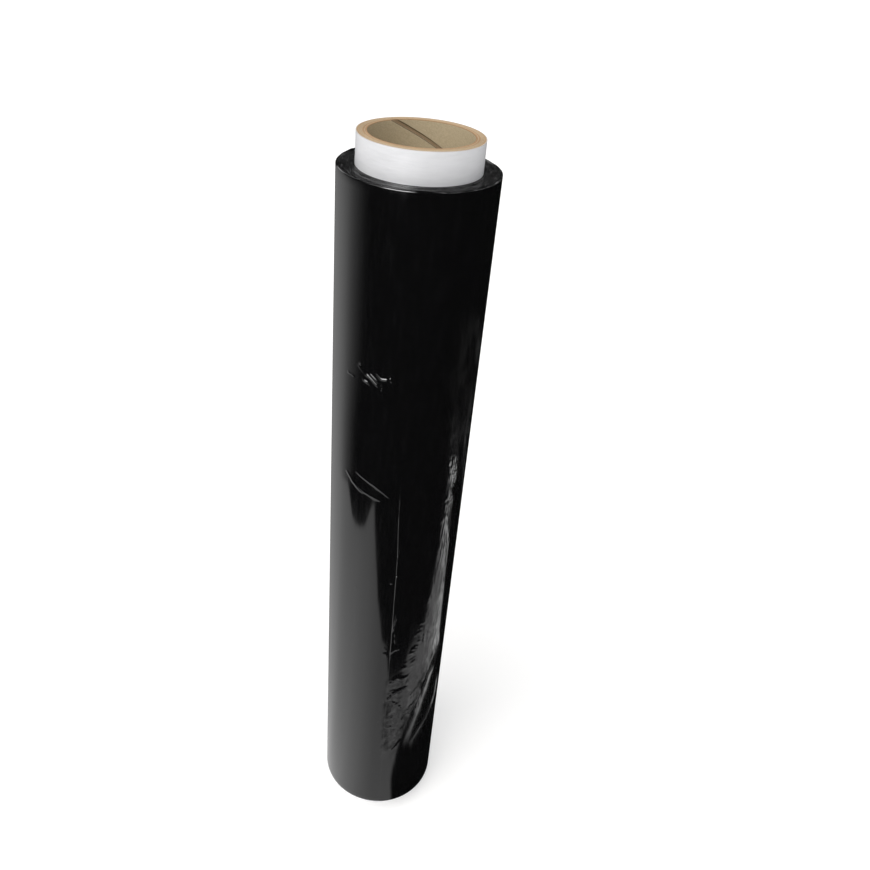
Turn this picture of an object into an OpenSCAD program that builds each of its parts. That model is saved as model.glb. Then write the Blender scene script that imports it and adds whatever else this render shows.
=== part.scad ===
// A roll of black stretch wrap standing on its end: a spiral-wound cardboard
// core with a white paper outside, and one long film wound round it. The
// origin is the centre of the foot, with +Z up along the roll.

/* [Core] */
// Inside diameter of the core, which a spindle goes through
core_bore_d = 50.8; // [38:0.1:76.2]
// Thickness of the brown board, without the white paper
board_wall = 4.7; // [3:0.1:8]
// Number of board plies that show as rings at the core's ends
board_plies = 7; // [4:1:10]
// Thickness of the white outer paper
white_ply = 0.4; // [0.2:0.1:1]
// How far the core stands out of the film at each end
core_reach = 15; // [6:1:60]
// Rise of the core's spiral seam in one turn
seam_pitch = 82; // [60:1:120]
// Direction in which the seam starts at the core's foot, from +X
seam_start = 138; // [0:1:359]
// Width of the seam in the bore, between two edges of the inner ply
seam_gap = 1.6; // [0.6:0.1:2]
// Depth of the seam in the bore
seam_depth = 0.5; // [0.3:0.1:0.6]

/* [Film] */
// Width of the film, which is the length of the wound part
film_width = 457; // [250:1:750]
// Thickness of the wound film, from the core to the outside
film_build = 9.2; // [6:0.1:20]
// Number of bands of turns that show as a spiral at the film's ends
turn_bands = 20; // [8:1:24]
// Depth of the groove between two bands of turns
turn_groove = 0.25; // [0.1:0.05:0.4]
// How far the bands of turns stand out of line with each other
turn_stagger = 0.35; // [0:0.05:0.5]
// Radius of the roll's outer edges
edge_round = 1; // [0.5:0.1:2]

/* [Pleats] */
// Direction of the slack strip down the film, from +X
strip_side = -46; // [-180:1:180]
// How far round the roll the slack strip reaches
strip_spread = 10; // [4:1:40]
// Number of pleats along the slack strip
strip_pleats = 20; // [4:1:40]
// Number of pleats that fan out from the strip's lower end
fan_pleats = 16; // [4:1:30]
// Number of slanted creases on the side away from the strip
side_creases = 8; // [2:1:20]
// Height of the largest pleat above the film
pleat_height = 0.7; // [0.3:0.1:1.2]
// Width of the largest pleat at its foot
pleat_width = 2.4; // [1.5:0.1:4]
// Length of the longest pleat in the slack strip
strip_pleat_length = 38; // [15:1:60]
// Length of the longest pleat in the fan and of the longest slanted crease
fan_pleat_length = 25; // [10:1:27]

/* [Hidden] */
$fn = 96;

bore_r = core_bore_d / 2;
board_r = bore_r + board_wall;
core_r = board_r + white_ply;
core_length = film_width + 2 * core_reach;
film_r = core_r + film_build;
film_low = core_reach;
film_high = core_reach + film_width;

board_colour = [0.62, 0.50, 0.36];
paper_colour = [0.88, 0.88, 0.90];
film_colour = [0.05, 0.05, 0.055];

// A cutter runs past what it cuts by this much.
overrun = 1;
// Depth and half width of the groove between two plies at the core's ends
ply_groove = 0.2;
ply_groove_half = 0.12;
board_ply = board_wall / board_plies;
// Degrees of one straight piece of the seam
seam_step = 15;

// The winding is a two-centre spiral: half circles round the roll's axis on one
// side, and round a centre moved by half a pitch on the other. The outermost
// band ends in a step one pitch high, which is the film's free edge.
turn_pitch = film_build / turn_bands;
centre_shift = turn_pitch / 2;
// Half the width of the groove between two bands
groove_half = turn_pitch / 4;
// Points of one band's profile at each end: its two corners and its groove
band_points = 3;
// Straight pieces in the rounding of the roll's outer edges
round_steps = 6;
// The film's free edge lies this far round from the slack strip.
tail_offset = -39;
tail_side = strip_side + tail_offset;

// A pleat is this much of the largest one at least. Its foot and its tips lie
// this deep in the film, so that its ends close inside it.
smallest_pleat = 0.35;
foot_sunk = 1;
tip_sunk = 0.3;
tip_half_width = 0.15;
pleat_rings = 8;
// Where along the film's width the groups of pleats lie, from 0 at its lower edge
strip_shares = [0.15, 0.70];
fan_shares = [0.16, 0.42];
crease_shares = [0.62, 0.83];
// How far round from the strip the fan and the slanted creases lie
fan_offset = -17;
fan_spread = 22;
crease_offset = -71;
crease_spread = 18;
// Least and most lean of each group's pleats, from the roll's axis
strip_lean = [-8, 12];
fan_lean = [10, 52];
crease_lean = [-88, -60];

// A number from 0 to 1 that is spread evenly as i counts up
function spread_out(i, step) = (i * step) - floor(i * step);
golden = 0.6180339887;
silver = 0.4142135624;
bronze = 0.3027756377;

// Points across one end of the board: flat plies with a groove between each two
function ply_points(z, outward) = [
    for (i = [1 : board_plies - 1])
        let (r = bore_r + i * board_ply)
        each [
            [r - ply_groove_half, z],
            [r, z - outward * ply_groove],
            [r + ply_groove_half, z]
        ]
];

module core_board() {
    top = ply_points(core_length, 1);
    foot = ply_points(0, -1);
    color(board_colour)
    difference() {
        rotate_extrude()
        polygon(concat(
            [[bore_r, 0]],
            foot,
            [[board_r, 0], [board_r, core_length]],
            [for (i = [len(top) - 1 : -1 : 0]) top[i]],
            [[bore_r, core_length]]
        ));
        rotate([0, 0, seam_start]) seam_groove();
    }
}

// A square-edged helix that cuts the seam into the bore's wall
module seam_groove() {
    turns = (core_length + 2 * seam_gap) / seam_pitch;
    rings = ceil(turns * 360 / seam_step);
    half = seam_gap / 2;
    inner = bore_r - overrun;
    outer = bore_r + seam_depth;
    section = [[inner, -half], [outer, -half], [outer, half], [inner, half]];
    corners = len(section);
    points = [
        for (k = [0 : rings])
            let (
                a = k * seam_step,
                z = -seam_gap + seam_pitch * a / 360
            )
            for (q = section)
                [q[0] * cos(a), q[0] * sin(a), z + q[1]]
    ];
    sides = [
        for (k = [0 : rings - 1])
            for (j = [0 : corners - 1])
                let (
                    a = k * corners + j,
                    b = k * corners + (j + 1) % corners
                )
                [a, b, b + corners, a + corners]
    ];
    foot_cap = [[for (j = [corners - 1 : -1 : 0]) j]];
    head_cap = [[for (j = [0 : corners - 1]) rings * corners + j]];
    polyhedron(points, concat(foot_cap, sides, head_cap));
}

module core_white_paper() {
    color(paper_colour)
    difference() {
        cylinder(r = core_r, h = core_length);
        translate([0, 0, -overrun])
        cylinder(r = board_r, h = core_length + 2 * overrun);
    }
}

// Height of a band of turns at the roll's ends, in or out of line
function band_rise(i) = turn_stagger * (spread_out(i + 1, golden) - 1);

// Points across one end of the film: bands of turns with a groove between each two
function turn_points(first_r, z, outward) = [
    for (i = [0 : turn_bands - 1])
        let (
            r = first_r + i * turn_pitch,
            rise = outward * band_rise(i)
        )
        each [
            [r + groove_half, z + rise],
            [r + turn_pitch - groove_half, z + rise],
            [r + turn_pitch, z - outward * (turn_groove + turn_stagger)]
        ]
];

// Half of the winding: bands that start at first_r, turned round the Z axis
module half_winding(first_r) {
    last_r = first_r + film_build;
    top = turn_points(first_r, film_high, 1);
    foot = turn_points(first_r, film_low, -1);
    inside = len(top) - band_points;
    corner_r = last_r - edge_round;
    rotate_extrude(angle = 180)
    polygon(concat(
        [[first_r - turn_pitch, film_low]],
        [for (i = [0 : inside]) if (foot[i][0] < corner_r) foot[i]],
        [for (k = [0 : round_steps])
            let (a = -90 + 90 * k / round_steps)
            [corner_r + edge_round * cos(a), film_low + edge_round + edge_round * sin(a)]],
        [for (k = [0 : round_steps])
            let (a = 90 * k / round_steps)
            [corner_r + edge_round * cos(a), film_high - edge_round + edge_round * sin(a)]],
        [for (i = [inside : -1 : 0]) if (top[i][0] < corner_r) top[i]],
        [[first_r - turn_pitch, film_high]]
    ));
}

module film_roll() {
    color(film_colour) {
        difference() {
            rotate([0, 0, tail_side]) {
                half_winding(core_r);
                translate([-centre_shift, 0, 0])
                rotate([0, 0, 180])
                half_winding(core_r - centre_shift);
            }
            cylinder(r = core_r, h = core_length);
        }
        pleats(strip_pleats, strip_pleat_length, strip_side, strip_spread, strip_shares, strip_lean);
        pleats(fan_pleats, fan_pleat_length, strip_side + fan_offset, fan_spread, fan_shares, fan_lean);
        pleats(side_creases, fan_pleat_length, strip_side + crease_offset, crease_spread,
            crease_shares, crease_lean);
    }
}

// A group of pleats, spread evenly over a patch of the film's outside
module pleats(count, longest, side, spread, shares, leans) {
    low = film_low + edge_round + longest / 2;
    high = film_high - edge_round - longest / 2;
    for (i = [0 : count - 1]) {
        size = smallest_pleat + (1 - smallest_pleat) * spread_out(i, bronze);
        turn = side + spread * (spread_out(i, golden) - 0.5);
        share = shares[0] + (shares[1] - shares[0]) * spread_out(i, silver);
        lean = leans[0] + (leans[1] - leans[0]) * spread_out(i, golden * silver);
        pleat(size, size * longest, turn, low + (high - low) * share, lean);
    }
}

// A point that lies this far round the film's outside from a direction
function on_film(r, side, round_mm, z) =
    let (a = side + round_mm / film_r * 180 / PI)
    [r * cos(a), r * sin(a), z];

// One pleat: a ridge that follows the film's outside and tapers to nothing at
// both ends. Its foot is sunk into the film.
module pleat(size, span, side, middle, lean) {
    half = pleat_width * size / 2;
    foot_r = film_r - foot_sunk;
    tip_r = film_r - tip_sunk;
    rise = pleat_height * size + tip_sunk;
    points = [
        for (k = [0 : pleat_rings])
            let (
                t = 2 * k / pleat_rings - 1,
                swell = 1 - t * t,
                along = t * span / 2,
                across = half * swell + tip_half_width,
                turn = along * sin(lean),
                z = middle + along * cos(lean)
            )
            each [
                on_film(foot_r, side, turn + across * cos(lean), z - across * sin(lean)),
                on_film(tip_r + rise * swell, side, turn, z),
                on_film(foot_r, side, turn - across * cos(lean), z + across * sin(lean))
            ]
    ];
    corners = 3;
    sides = [
        for (k = [0 : pleat_rings - 1])
            for (j = [0 : corners - 1])
                let (
                    a = k * corners + j,
                    b = k * corners + (j + 1) % corners
                )
                each [[a, b, b + corners], [a, b + corners, a + corners]]
    ];
    last = pleat_rings * corners;
    foot_cap = [[for (j = [corners - 1 : -1 : 0]) j]];
    head_cap = [[for (j = [0 : corners - 1]) last + j]];
    polyhedron(points, concat(foot_cap, sides, head_cap));
}

core_board();
core_white_paper();
film_roll();
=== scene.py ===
"""A roll of black stretch wrap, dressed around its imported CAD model.

The cardboard core and the film's wound ends are made by Geometry Nodes, and the
film's slack outer turn is a height field over the roll's outside.
"""

import itertools
import math

import bpy
import numpy as np
from mathutils import Matrix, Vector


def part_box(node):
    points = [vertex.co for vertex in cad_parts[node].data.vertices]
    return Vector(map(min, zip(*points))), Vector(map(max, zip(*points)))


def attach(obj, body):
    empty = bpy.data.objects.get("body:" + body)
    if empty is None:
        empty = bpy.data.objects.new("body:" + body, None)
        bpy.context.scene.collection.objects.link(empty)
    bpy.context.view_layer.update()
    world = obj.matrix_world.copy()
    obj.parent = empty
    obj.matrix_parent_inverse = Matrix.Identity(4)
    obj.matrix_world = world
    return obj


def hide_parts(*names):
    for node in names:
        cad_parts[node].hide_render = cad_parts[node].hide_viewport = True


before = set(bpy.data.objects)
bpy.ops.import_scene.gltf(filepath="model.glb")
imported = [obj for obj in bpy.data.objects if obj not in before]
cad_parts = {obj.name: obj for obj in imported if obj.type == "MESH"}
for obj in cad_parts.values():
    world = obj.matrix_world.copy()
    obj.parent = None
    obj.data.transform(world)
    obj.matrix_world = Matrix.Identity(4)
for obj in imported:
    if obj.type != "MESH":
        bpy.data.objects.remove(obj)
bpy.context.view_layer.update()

bl_info = {
    "name": "Stretch Wrap Roll",
    "version": (1, 0, 0),
    "blender": (4, 5, 0),
    "location": "View3D > Sidebar > Wrap Roll",
    "description": "Builds a roll of black stretch wrap on its cardboard core",
    "category": "Add Mesh",
}

BODY = "root"
MM = 0.001
# Points closer than this are welded
WELD = 0.002 * MM
# How strongly a grid's rows are drawn toward the lines that need them, below 1
CROWDING = 0.9
# Where the paper's overlap starts, in turns from the bore's seam
PAPER_TURN = 0.35
BOARD_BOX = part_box("core_board")
PAPER_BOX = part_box("core_white_paper")
FILM_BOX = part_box("film_roll")


def length_value(name, description, default):
    """A length in metres that a user can change."""
    return bpy.props.FloatProperty(
        name=name, description=description, default=default, min=0.0, unit="LENGTH", subtype="DISTANCE")


def angle_value(name, description, degrees):
    """An angle that a user can change, written here in degrees."""
    return bpy.props.FloatProperty(
        name=name, description=description, default=math.radians(degrees), unit="ROTATION", subtype="ANGLE")


def colour_value(name, description, default):
    """A colour that a user can change, in linear light."""
    return bpy.props.FloatVectorProperty(
        name=name, description=description, default=default, size=3, min=0.0, max=1.0, subtype="COLOR")


def count_value(name, description, default):
    """A whole number that a user can change."""
    return bpy.props.IntProperty(name=name, description=description, default=default, min=0)


def level_value(name, description, default):
    """A strength that a user can change."""
    return bpy.props.FloatProperty(name=name, description=description, default=default, min=0.0)


class CoreSizes(bpy.types.PropertyGroup):
    """Sizes of the spiral-wound core."""

    bore_radius: length_value("Bore radius", "Inside radius of the core", 0.0254)
    board_radius: length_value("Board radius", "Outside radius of the brown board", BOARD_BOX[1].x)
    paper_radius: length_value("Paper radius", "Outside radius of the white paper", PAPER_BOX[1].x)
    length: length_value("Length", "Length of the core", PAPER_BOX[1].z)
    plies: count_value("Plies", "Board plies that show as rings at the ends", 7)
    ply_groove: length_value("Ply groove", "Depth of the groove between two plies", 0.00018)
    seam_pitch: length_value("Seam pitch", "Rise of the bore's seam in one turn", 0.082)
    seam_start: angle_value("Seam start", "Where the bore's seam meets the foot, from +X", 145)
    seam_width: length_value("Seam width", "Gap between two edges of the inner ply", 0.0019)
    seam_depth: length_value("Seam depth", "Depth of that gap", 0.00045)
    overlap_width: length_value("Overlap width", "Width of the white paper's overlap", 0.005)
    overlap_rise: length_value("Overlap rise", "Height of the white paper's overlap", 0.00008)


class FilmSizes(bpy.types.PropertyGroup):
    """Sizes of the wound film."""

    radius: length_value("Radius", "Outside radius of the wound film", 0.0397)
    foot: length_value("Foot", "Height of the film's lower end", FILM_BOX[0].z)
    top: length_value("Top", "Height of the film's upper end", FILM_BOX[1].z)
    turn_thickness: length_value("Outer turn", "Thickness of the slack outer turn", 0.0009)
    bands: count_value("Bands", "Bands of turns that show at the ends", 26)
    band_groove: length_value("Band groove", "Depth of the groove between two bands", 0.00022)
    band_stagger: length_value("Band stagger", "How far the bands stand out of line", 0.0004)
    edge_side: angle_value("Free edge", "Direction of the film's free edge, from +X", -85.5)
    edge_lift: length_value("Edge lift", "Height of the tail above the turn below it", 0.00034)
    seed: count_value("Seed", "Seed of the bands and folds", 11)


class SlackSizes(bpy.types.PropertyGroup):
    """Sizes of the slack outer turn's folds."""

    strip_height: length_value("Strip height", "Height of the ragged strip's folds", 0.00026)
    fan_height: length_value("Fan height", "Height of the folds that fan out below the strip", 0.0003)
    crease_height: length_value("Crease height", "Height of the single sharp creases", 0.00035)
    ripple: length_value("Ripple", "Height of the faint ripples in tight film", 0.000009)


class RollColours(bpy.types.PropertyGroup):
    """Colours of the film, the board and the paper."""

    film: colour_value("Film", "Black of the film", (0.003, 0.003, 0.0033))
    board_end: colour_value("Board end", "Cut ends of the board", (0.56, 0.43, 0.28))
    board_line: colour_value("Board line", "Glue lines between the plies", (0.36, 0.24, 0.14))
    board_first: colour_value("Inner ply", "Cut end of the innermost ply", (0.45, 0.25, 0.12))
    board_bore: colour_value("Bore", "Face of the bore", (0.62, 0.52, 0.35))
    paper: colour_value("Paper", "White outer paper", (0.86, 0.865, 0.89))


class StudioLight(bpy.types.PropertyGroup):
    """Strength of the studio's lights."""

    key: level_value("Key", "Strength of the soft key light", 1.75)
    fill: level_value("Fill", "Light that comes from all round", 0.62)
    floor: colour_value("Floor", "Colour of the floor", (0.82, 0.82, 0.82))


class Wire:
    """A node's output, which can be added, multiplied and so on like a number."""

    def __init__(self, wiring, socket):
        self.wiring = wiring
        self.socket = socket

    def __add__(self, other):
        return self.wiring.math("ADD", self, other)

    def __radd__(self, other):
        return self.wiring.math("ADD", other, self)

    def __sub__(self, other):
        return self.wiring.math("SUBTRACT", self, other)

    def __rsub__(self, other):
        return self.wiring.math("SUBTRACT", other, self)

    def __mul__(self, other):
        return self.wiring.math("MULTIPLY", self, other)

    def __rmul__(self, other):
        return self.wiring.math("MULTIPLY", other, self)

    def __truediv__(self, other):
        return self.wiring.math("DIVIDE", self, other)

    def __rtruediv__(self, other):
        return self.wiring.math("DIVIDE", other, self)

    def __abs__(self):
        return self.wiring.math("ABSOLUTE", self)


class Wiring:
    """A node tree that is built in few words."""

    def __init__(self, tree):
        self.tree = tree

    def node(self, kind, **settings):
        """Add a node with these settings."""
        node = self.tree.nodes.new(kind)
        for name, value in settings.items():
            setattr(node, name, value)
        return node

    def out(self, node, name=0):
        """A node's output, to reckon with or to link."""
        return Wire(self, node.outputs[name])

    def put(self, socket, value):
        """Link an output to a socket, or set the socket's value."""
        if isinstance(value, Wire):
            self.tree.links.new(value.socket, socket)
        else:
            socket.default_value = value

    def fill(self, node, **values):
        """Give values to a node's inputs, with _ for a space in their names."""
        for name, value in values.items():
            self.put(node.inputs[name.replace("_", " ")], value)
        return node

    def feed(self, node, *values):
        """Give values to a node's first inputs, and return its first output."""
        for socket, value in zip(node.inputs, values):
            self.put(socket, value)
        return self.out(node)

    def math(self, operation, *values):
        """A sum of numbers or outputs."""
        return self.feed(self.node("ShaderNodeMath", operation=operation), *values)

    def ramp(self, value, low, high, start=0.0, end=1.0):
        """A soft change from start to end as a value goes from low to high."""
        node = self.node("ShaderNodeMapRange", interpolation_type="SMOOTHSTEP", clamp=True)
        return self.feed(node, value, low, high, start, end)

    def clip(self, value, low, high):
        """A value that stays between low and high."""
        return self.math("MINIMUM", self.math("MAXIMUM", value, low), high)

    def mix(self, share, first, second):
        """A number between two others."""
        return first + share * (second - first)

    def off_whole(self, value):
        """How far a number is from the nearest whole one."""
        return abs(self.math("FRACT", value + 0.5) - 0.5)

    def round_point(self, angle, radius, height):
        """A point on a cylinder round the Z axis."""
        x, y = self.math("COSINE", angle) * radius, self.math("SINE", angle) * radius
        return self.feed(self.node("ShaderNodeCombineXYZ"), x, y, height)


class GrowTree(Wiring):
    """A Geometry Nodes tree with named inputs."""

    def __init__(self, name):
        super().__init__(bpy.data.node_groups.new(name, "GeometryNodeTree"))
        self.tree.interface.new_socket("Geometry", in_out="OUTPUT", socket_type="NodeSocketGeometry")
        self.source = self.node("NodeGroupInput")
        self.parts = self.node("GeometryNodeJoinGeometry")

    def inputs(self, *names, kind="Float"):
        """Add named inputs and return their outputs in the tree."""
        for name in names:
            self.tree.interface.new_socket(name, in_out="INPUT", socket_type="NodeSocket" + kind)
        return [self.out(self.source, name) for name in names]

    def sheet(self, columns, rows):
        """A flat grid, and its two shares from 0 to 1."""
        grid = self.node("GeometryNodeMeshGrid")
        self.fill(grid, Size_X=1.0, Size_Y=1.0, Vertices_X=columns + 1, Vertices_Y=rows + 1)
        place = self.node("ShaderNodeSeparateXYZ")
        self.put(place.inputs[0], self.out(self.node("GeometryNodeInputPosition")))
        return self.out(grid, "Mesh"), self.out(place, "X") + 0.5, self.out(place, "Y") + 0.5

    def lay(self, grid, radius, turn, height, flip=False):
        """Lay a grid round the Z axis and add it to the result."""
        mover = self.node("GeometryNodeSetPosition")
        self.fill(mover, Geometry=grid, Position=self.round_point(turn * math.tau, radius, height))
        laid = self.out(mover)
        if flip:
            laid = self.feed(self.node("GeometryNodeFlipFaces"), laid)
        self.put(self.parts.inputs[0], laid)

    def close(self, sharp_degrees=35):
        """Weld the parts, keep sharp corners, and give the material, which is an input too."""
        weld = self.node("GeometryNodeMergeByDistance")
        self.fill(weld, Geometry=self.out(self.parts), Distance=WELD)
        smooth = self.feed(self.node("GeometryNodeSetShadeSmooth", domain="FACE"), self.out(weld))
        corner = self.node("FunctionNodeCompare", data_type="FLOAT", operation="GREATER_THAN")
        angle = self.out(self.node("GeometryNodeInputMeshEdgeAngle"))
        crisp = self.node("GeometryNodeSetShadeSmooth", domain="EDGE")
        self.fill(crisp, Geometry=smooth, Selection=self.feed(corner, angle, math.radians(sharp_degrees)))
        self.fill(crisp, Shade_Smooth=False)
        real = self.feed(self.node("GeometryNodeRealizeInstances"), self.out(crisp))
        dressed = self.node("GeometryNodeSetMaterial")
        self.fill(dressed, Geometry=real, Material=self.inputs("Material", kind="Material")[0])
        self.put(self.node("NodeGroupOutput").inputs[0], self.out(dressed))
        return self.tree


def crowd(tree, value, toward_whole=True):
    """Draw evenly spaced numbers together near whole numbers, or half way between them."""
    share = (-1 if toward_whole else 1) * CROWDING / math.tau
    return value + tree.math("SINE", value * math.tau) * share


def wound_tube_tree():
    """Geometry Nodes for a spiral-wound tube: a seam inside, an overlap outside, plies at its ends."""
    tree = GrowTree("Spiral Wound Tube")
    bore, outside, length, pitch, start = tree.inputs(
        "Bore Radius", "Outer Radius", "Length", "Seam Pitch", "Seam Start")
    seam_width, seam_depth, lap_width, lap_rise, ply_groove = tree.inputs(
        "Seam Width", "Seam Depth", "Overlap Width", "Overlap Rise", "Ply Groove")
    plies, columns, bore_rows, outer_rows = tree.inputs(
        "Plies", "Columns", "Bore Rows per Turn", "Outer Rows per Turn", kind="Int")
    turns = tree.math("CEIL", length / pitch) + 1

    def near_seam(turn, height, width, size):
        """The seam's depth, or the overlap's rise, at a place on the wall."""
        away = tree.off_whole(height / pitch - (turn - start)) * pitch
        half, soft = width * 0.5, width * 0.08
        return tree.ramp(away, half - soft, half + soft, 1.0, 0.0) * size

    def turn_of(across):
        """The direction of a column, so that the seam lies half way up a row of the grid."""
        return across - 0.5 + start

    def wall(rows_per_turn, radius, width, size, flip):
        grid, across, along = tree.sheet(columns, turns * rows_per_turn)
        climb = crowd(tree, along * turns, toward_whole=False)
        height = tree.clip((climb - 1 + across) * pitch, 0.0, length)
        turn = turn_of(across)
        tree.lay(grid, radius + near_seam(turn, height, width, size), turn, height, flip)

    def end(level, outward, flip):
        grid, across, along = tree.sheet(columns, plies * 8)
        turn = turn_of(across)
        ply = crowd(tree, along * plies)
        inner = bore + near_seam(turn, level, seam_width, seam_depth)
        outer = outside + near_seam(turn, level, lap_width, lap_rise)
        groove = tree.ramp(tree.off_whole(ply), 0.04, 0.2, 1.0, 0.0)
        between = tree.math("GREATER_THAN", ply, 0.5) * tree.math("LESS_THAN", ply, plies - 0.5)
        dip = groove * between * ply_groove
        tree.lay(grid, tree.mix(ply / plies, inner, outer), turn, level - dip * outward, flip)

    wall(bore_rows, bore, seam_width, seam_depth, True)
    wall(outer_rows, outside, lap_width, lap_rise, False)
    end(length, 1.0, True)
    end(0.0, -1.0, False)
    return tree.close()


def wound_film_tree():
    """Geometry Nodes for the wound film, whose turns show as one long spiral at both ends."""
    tree = GrowTree("Wound Film")
    inside, outside, foot, top, groove_depth, stagger, start = tree.inputs(
        "Core Radius", "Outer Radius", "Foot", "Top", "Band Groove", "Band Stagger", "Free Edge")
    bands, columns, band_rows, seed = tree.inputs("Bands", "Columns", "Rows per Band", "Seed", kind="Int")
    pitch = (outside - inside) / bands
    soft_edge = 0.2 * MM

    def end(level, outward, flip, shift):
        turns = bands + 1
        grid, across, along = tree.sheet(columns, turns * band_rows)
        band = crowd(tree, along * turns)
        radius = tree.clip(inside + (band - 1 + across) * pitch, inside, outside)
        turn = across + start
        whole_band = tree.math("FLOOR", band + 1e-4) + across
        noise = tree.node("ShaderNodeTexNoise", noise_dimensions="1D")
        tree.fill(noise, W=whole_band + (seed + shift), Scale=0.45, Detail=4.0, Roughness=0.75)
        rise = (tree.out(noise) - 0.62) * (stagger * 3)
        groove = tree.ramp(tree.off_whole(band), 0.03, 0.22, 1.0, 0.0) * groove_depth
        dents = tree.node("ShaderNodeTexNoise", noise_dimensions="2D")
        place = tree.node("ShaderNodeCombineXYZ")
        tree.fill(place, X=radius * 420, Y=tree.math("SINE", turn * math.tau) * 7.0)
        tree.fill(dents, Vector=tree.out(place), Scale=1.0, Detail=3.0)
        dent = tree.ramp(tree.out(dents), 0.56, 0.75) * stagger
        inner_mask = tree.ramp(radius - inside, 0.0, soft_edge)
        outer_mask = tree.ramp(outside - radius, 0.0, soft_edge)
        change = (rise - groove - dent) * (inner_mask * outer_mask)
        tree.lay(grid, radius, turn, level + change * outward, flip)

    def wall(radius, flip):
        grid, across, along = tree.sheet(columns, 1)
        tree.lay(grid, radius, across + start, tree.mix(along, foot, top), flip)

    end(top, 1.0, True, 0.0)
    end(foot, -1.0, False, 40.0)
    wall(inside, True)
    wall(outside, False)
    return tree.close(sharp_degrees=60)


def new_object(name, data):
    """Add an object to the scene."""
    added = bpy.data.objects.new(name, data)
    bpy.context.collection.objects.link(added)
    return added


def grow(name, tree, values):
    """Make a plain mesh object from a node tree and its named inputs."""
    piece = new_object(name, bpy.data.meshes.new(name))
    modifier = piece.modifiers.new("Grow", "NODES")
    modifier.node_group = tree
    for item in tree.interface.items_tree:
        if item.in_out == "INPUT":
            modifier[item.identifier] = values[item.name]
    grown = piece.evaluated_get(bpy.context.evaluated_depsgraph_get())
    mesh = bpy.data.meshes.new_from_object(grown)
    piece.modifiers.remove(modifier)
    piece.data = mesh
    mesh.name = name
    return piece


def hand_over(piece, node):
    """Attach a finished piece to the body it rides on, and hide the CAD node that it stands for."""
    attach(piece, BODY)
    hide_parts(node)


class GradientNoise:
    """Smooth noise from about -1 to 1 that is the same on each run."""

    def __init__(self, seed):
        chance = np.random.default_rng(seed)
        self.order = np.tile(chance.permutation(256), 3)
        slopes = chance.normal(size=(256, 3))
        self.slopes = slopes / np.linalg.norm(slopes, axis=1, keepdims=True)

    def at(self, x, y, z=0.0):
        """The noise at each point."""
        x, y, z = np.broadcast_arrays(x, y, z)
        cells = [np.floor(part).astype(int) for part in (x, y, z)]
        parts = [part - cell for part, cell in zip((x, y, z), cells)]
        fades = [part ** 3 * (part * (part * 6 - 15) + 10) for part in parts]
        total = np.zeros(x.shape)
        for corner in itertools.product((0, 1), repeat=3):
            index = 0
            for cell, step in zip(cells, corner):
                index = self.order[index + ((cell + step) & 255)]
            slope = self.slopes[index]
            value = sum(slope[..., axis] * (parts[axis] - corner[axis]) for axis in range(3))
            for fade, step in zip(fades, corner):
                value = value * (fade if step else 1 - fade)
            total += value
        return total * 1.6

    def layers(self, x, y, z=0.0, count=3, gain=0.5):
        """Noise on several scales."""
        total, size, step = 0.0, 1.0, 1.0
        for _ in range(count):
            total = total + size * self.at(np.multiply(x, step), np.multiply(y, step), np.multiply(z, step))
            size *= gain
            step *= 2.03
        return total

    def ridges(self, x, y, z=0.0, sharp=2.0):
        """Narrow crests between wide hollows, from 0 to 1."""
        return np.clip(1 - np.abs(self.at(x, y, z)), 0, 1) ** sharp


def soft_step(value, low, high):
    """A smooth change from 0 to 1 as a value goes from low to high."""
    share = np.clip((value - low) / (high - low), 0, 1)
    return share * share * (3 - 2 * share)


def rise_fall(value, low, top, drop, end):
    """A smooth change from 0 at low to 1 at top, and back to 0 from drop to end."""
    return soft_step(value, low, top) * (1 - soft_step(value, drop, end))


def window(value, low, high, soft):
    """1 between low and high, with soft ends."""
    return rise_fall(value, low - soft, low + soft, high - soft, high + soft)


def crowded(low, high, count, weight, zones):
    """Numbers from low to high that lie closer together in zones of more weight."""
    fine = np.linspace(low, high, 4001)
    for more, *zone in zones:
        weight = weight + more * window(fine, *zone)
    total = np.concatenate(([0], np.cumsum((weight[1:] + weight[:-1]) / 2)))
    return np.interp(np.linspace(0, total[-1], count), total, fine)


# The ragged strip down the film: height in mm, and the directions of its two edges in degrees
STRIP_EDGES = ((120, -62, -50), (140, -62, -49), (150, -62, -43), (160, -61, -36), (170, -60, -31),
               (180, -58.5, -31), (190, -56, -32), (200, -53.8, -33), (215, -50.5, -33), (230, -49.7, -33.5),
               (245, -48, -33), (258, -46.6, -32.5), (268, -46, -34), (278, -44.5, -33), (290, -46, -34),
               (299, -44, -37), (308, -42, -32), (319, -46, -33), (330, -45, -35))
# The strip's folds by height in mm: their width in mm, and a share of their height
FOLD_WIDTH = ((150, 230, 300), (1.8, 1.3, 1.0))
FOLD_SIZE = ((120, 150, 200, 235, 262, 285, 300, 332), (0.7, 0.6, 0.45, 0.3, 0.5, 0.8, 1.0, 0.9))
# The fan of folds: where it spreads from, its top by direction, and its last direction by height
FAN_ROOT = (-37, 168)
FAN_CEILING = ((-85, -77, -70, -65, -59, -50), (155, 158, 167, 182, 190, 196))
FAN_LAST = ((85, 118, 130, 142, 150, 165), (-70, -60, -56, -50, -46, -42))
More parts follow.
